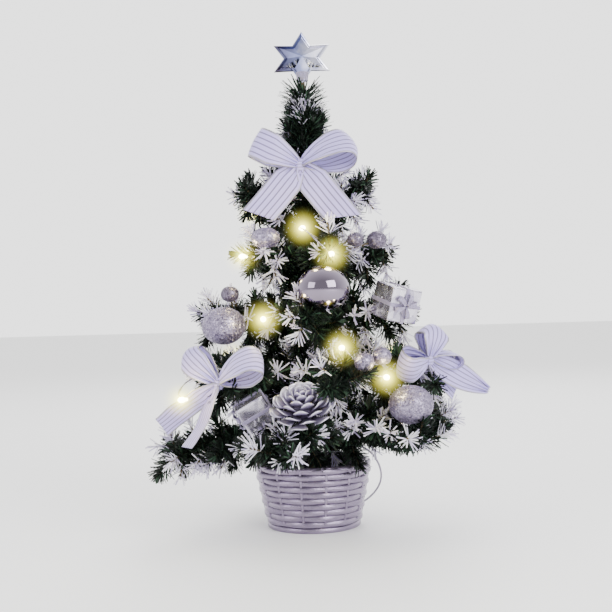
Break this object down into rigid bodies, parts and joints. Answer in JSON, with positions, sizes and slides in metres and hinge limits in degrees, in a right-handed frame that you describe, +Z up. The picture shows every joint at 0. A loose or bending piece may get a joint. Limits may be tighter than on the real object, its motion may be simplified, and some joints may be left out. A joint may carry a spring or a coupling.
{
  "type": "artificial tabletop tree",
  "caption": "Small frosted artificial tree with bendable branches in a woven-look pot, dressed with balls, bows, berries, gifts, a cone, a star and a battery light string.",
  "frame": {"origin": "middle of the pot's flat underside, on the surface it stands on", "axes": "+Z up along the trunk, -Y towards the dressed front, +X to the right seen from the front"},
  "size_m": [0.2868, 0.2755, 0.4505],
  "materials": {
    "pot_plastic": "satin",
    "plaster": "matte",
    "wrapped_wire": "matte",
    "pvc_needles": "matte",
    "metallised_plastic": "polished",
    "clear_plastic": "gloss",
    "mirror_ball": "polished",
    "glitter_ball": "satin",
    "glitter_berry": "satin",
    "striped_ribbon": "satin",
    "gift_band": "satin",
    "tie_wire": "satin",
    "foil_wrap": "gloss",
    "silvered_cone": "satin",
    "clear_cable": "gloss",
    "box_plastic": "satin",
    "switch_plastic": "satin",
    "battery_jacket": "gloss",
    "contact_steel": "satin"
  },
  "bodies": {
    "root": {"pot": "pot_plastic", "plaster_fill": "plaster", "trunk": "wrapped_wire", "leader": "pvc_needles", "top_bow_ribbon": "striped_ribbon", "top_bow_tie": "tie_wire", "light_string_riser": "clear_cable", "light_lead": "clear_cable", "battery_case": "box_plastic", "bridge_contact": "contact_steel", "battery_1": "battery_jacket", "battery_2": "battery_jacket"},
    "limb_1b": {"branch_1b": "pvc_needles", "pine_cone": "silvered_cone"},
    "limb_1a": {"branch_1a": "pvc_needles"},
    "limb_1c": {"branch_1c": "pvc_needles", "glitter_ball_right": "glitter_ball", "glitter_ball_right_cap": "metallised_plastic"},
    "limb_1d": {"branch_1d": "pvc_needles"},
    "limb_1e": {"branch_1e": "pvc_needles"},
    "limb_2a": {"branch_2a": "pvc_needles", "gift_box_left": "foil_wrap", "gift_box_left_ribbon": "gift_band", "left_bow_ribbon": "striped_ribbon", "left_bow_tie": "tie_wire", "light_loop_4": "clear_cable"},
    "limb_2b": {"branch_2b": "pvc_needles", "berry_pick_4": "glitter_berry", "light_loop_3": "clear_cable"},
    "limb_2c": {"branch_2c": "pvc_needles", "berry_pick_5": "glitter_berry", "right_bow_ribbon": "striped_ribbon", "right_bow_tie": "tie_wire"},
    "limb_2d": {"branch_2d": "pvc_needles"},
    "limb_2e": {"branch_2e": "pvc_needles"},
    "limb_3a": {"branch_3a": "pvc_needles", "berry_pick_2": "glitter_berry", "glitter_ball_left": "glitter_ball", "glitter_ball_left_cap": "metallised_plastic"},
    "limb_3b": {"branch_3b": "pvc_needles", "chrome_ball": "mirror_ball", "chrome_ball_cap": "metallised_plastic", "light_loop_2": "clear_cable"},
    "limb_3c": {"branch_3c": "pvc_needles", "gift_box_right": "foil_wrap", "gift_box_right_ribbon": "gift_band"},
    "limb_3d": {"branch_3d": "pvc_needles"},
    "limb_4a": {"branch_4a": "pvc_needles", "berry_pick_1": "glitter_berry"},
    "limb_4b": {"branch_4b": "pvc_needles", "berry_pick_3": "glitter_berry", "light_loop_1": "clear_cable"},
    "limb_4c": {"branch_4c": "pvc_needles"},
    "limb_4d": {"branch_4d": "pvc_needles"},
    "limb_5a": {"branch_5a": "pvc_needles"},
    "limb_5b": {"branch_5b": "pvc_needles"},
    "star": {"star_topper": "metallised_plastic", "star_socket": "clear_plastic"},
    "cover": {"battery_cover": "box_plastic"},
    "switch": {"battery_switch": "switch_plastic"}
  },
  "joints": [
    {"name": "fold_1b", "type": "hinge", "parent": "root", "child": "limb_1b", "pos_m": [-0.00138, -0.00648, 0.084], "axis": [-0.9781, 0.2079, 0], "range_deg": [0, 20]},
    {"name": "fold_1a", "type": "hinge", "parent": "root", "child": "limb_1a", "pos_m": [-0.0064, -0.00171, 0.084], "axis": [-0.2588, 0.9659, 0], "range_deg": [0, 20]},
    {"name": "fold_1c", "type": "hinge", "parent": "root", "child": "limb_1c", "pos_m": [0.00468, -0.00468, 0.084], "axis": [-0.7071, -0.7071, 0], "range_deg": [0, 20]},
    {"name": "fold_1d", "type": "hinge", "parent": "root", "child": "limb_1d", "pos_m": [0.0064, 0.00171, 0.084], "axis": [0.2588, -0.9659, 0], "range_deg": [0, 20]},
    {"name": "fold_1e", "type": "hinge", "parent": "root", "child": "limb_1e", "pos_m": [-0.00171, 0.0064, 0.084], "axis": [0.9659, 0.2588, 0], "range_deg": [0, 20]},
    {"name": "fold_2a", "type": "hinge", "parent": "root", "child": "limb_2a", "pos_m": [-0.00424, -0.0047, 0.129], "axis": [-0.7431, 0.6691, 0], "range_deg": [0, 19]},
    {"name": "fold_2b", "type": "hinge", "parent": "root", "child": "limb_2b", "pos_m": [0.00132, -0.00619, 0.129], "axis": [-0.9781, -0.2079, 0], "range_deg": [0, 19]},
    {"name": "fold_2c", "type": "hinge", "parent": "root", "child": "limb_2c", "pos_m": [0.00583, -0.00247, 0.129], "axis": [-0.3907, -0.9205, 0], "range_deg": [0, 19]},
    {"name": "fold_2d", "type": "hinge", "parent": "root", "child": "limb_2d", "pos_m": [0.00485, 0.00407, 0.129], "axis": [0.6428, -0.766, 0], "range_deg": [0, 19]},
    {"name": "fold_2e", "type": "hinge", "parent": "root", "child": "limb_2e", "pos_m": [-0.00448, 0.00448, 0.129], "axis": [0.7071, 0.7071, 0], "range_deg": [0, 19]},
    {"name": "fold_3a", "type": "hinge", "parent": "root", "child": "limb_3a", "pos_m": [-0.00547, -0.00255, 0.174], "axis": [-0.4226, 0.9063, 0], "range_deg": [0, 17]},
    {"name": "fold_3b", "type": "hinge", "parent": "root", "child": "limb_3b", "pos_m": [0, -0.00604, 0.174], "axis": [-1, 0, 0], "range_deg": [0, 17]},
    {"name": "fold_3c", "type": "hinge", "parent": "root", "child": "limb_3c", "pos_m": [0.00495, -0.00346, 0.174], "axis": [-0.5736, -0.8192, 0], "range_deg": [0, 17]},
    {"name": "fold_3d", "type": "hinge", "parent": "root", "child": "limb_3d", "pos_m": [0.00053, 0.00602, 0.174], "axis": [0.9962, -0.0872, 0], "range_deg": [0, 17]},
    {"name": "fold_4a", "type": "hinge", "parent": "root", "child": "limb_4a", "pos_m": [-0.00354, -0.00453, 0.219], "axis": [-0.788, 0.6157, 0], "range_deg": [0, 12]},
    {"name": "fold_4b", "type": "hinge", "parent": "root", "child": "limb_4b", "pos_m": [0.00197, -0.0054, 0.219], "axis": [-0.9397, -0.342, 0], "range_deg": [0, 12]},
    {"name": "fold_4c", "type": "hinge", "parent": "root", "child": "limb_4c", "pos_m": [0.00566, -0.001, 0.219], "axis": [-0.1736, -0.9848, 0], "range_deg": [0, 12]},
    {"name": "fold_4d", "type": "hinge", "parent": "root", "child": "limb_4d", "pos_m": [-0.00287, 0.00498, 0.219], "axis": [0.866, 0.5, 0], "range_deg": [0, 12]},
    {"name": "fold_5a", "type": "hinge", "parent": "root", "child": "limb_5a", "pos_m": [-0.00537, -0.00095, 0.264], "axis": [-0.1736, 0.9848, 0], "range_deg": [0, 10]},
    {"name": "fold_5b", "type": "hinge", "parent": "root", "child": "limb_5b", "pos_m": [0.00513, -0.00187, 0.264], "axis": [-0.342, -0.9397, 0], "range_deg": [0, 10]},
    {"name": "star_lift", "type": "slide", "parent": "root", "child": "star", "axis": [0, 0, 1], "range_m": [0, 0.025]},
    {"name": "cover_slide", "type": "slide", "parent": "root", "child": "cover", "axis": [-1, 0, 0], "range_m": [0, 0.055]},
    {"name": "switch_slide", "type": "slide", "parent": "root", "child": "switch", "axis": [1, 0, 0], "range_m": [0, 0.0035]}
  ],
  "couplings": [
    {"joint": "fold_1a", "follows": "fold_1b", "ratio": 1},
    {"joint": "fold_1c", "follows": "fold_1b", "ratio": 1},
    {"joint": "fold_1d", "follows": "fold_1b", "ratio": 1},
    {"joint": "fold_1e", "follows": "fold_1b", "ratio": 1},
    {"joint": "fold_2a", "follows": "fold_1b", "ratio": 0.95},
    {"joint": "fold_2b", "follows": "fold_1b", "ratio": 0.95},
    {"joint": "fold_2c", "follows": "fold_1b", "ratio": 0.95},
    {"joint": "fold_2d", "follows": "fold_1b", "ratio": 0.95},
    {"joint": "fold_2e", "follows": "fold_1b", "ratio": 0.95},
    {"joint": "fold_3a", "follows": "fold_1b", "ratio": 0.85},
    {"joint": "fold_3b", "follows": "fold_1b", "ratio": 0.85},
    {"joint": "fold_3c", "follows": "fold_1b", "ratio": 0.85},
    {"joint": "fold_3d", "follows": "fold_1b", "ratio": 0.85},
    {"joint": "fold_4a", "follows": "fold_1b", "ratio": 0.6},
    {"joint": "fold_4b", "follows": "fold_1b", "ratio": 0.6},
    {"joint": "fold_4c", "follows": "fold_1b", "ratio": 0.6},
    {"joint": "fold_4d", "follows": "fold_1b", "ratio": 0.6},
    {"joint": "fold_5a", "follows": "fold_1b", "ratio": 0.5},
    {"joint": "fold_5b", "follows": "fold_1b", "ratio": 0.5}
  ]
}
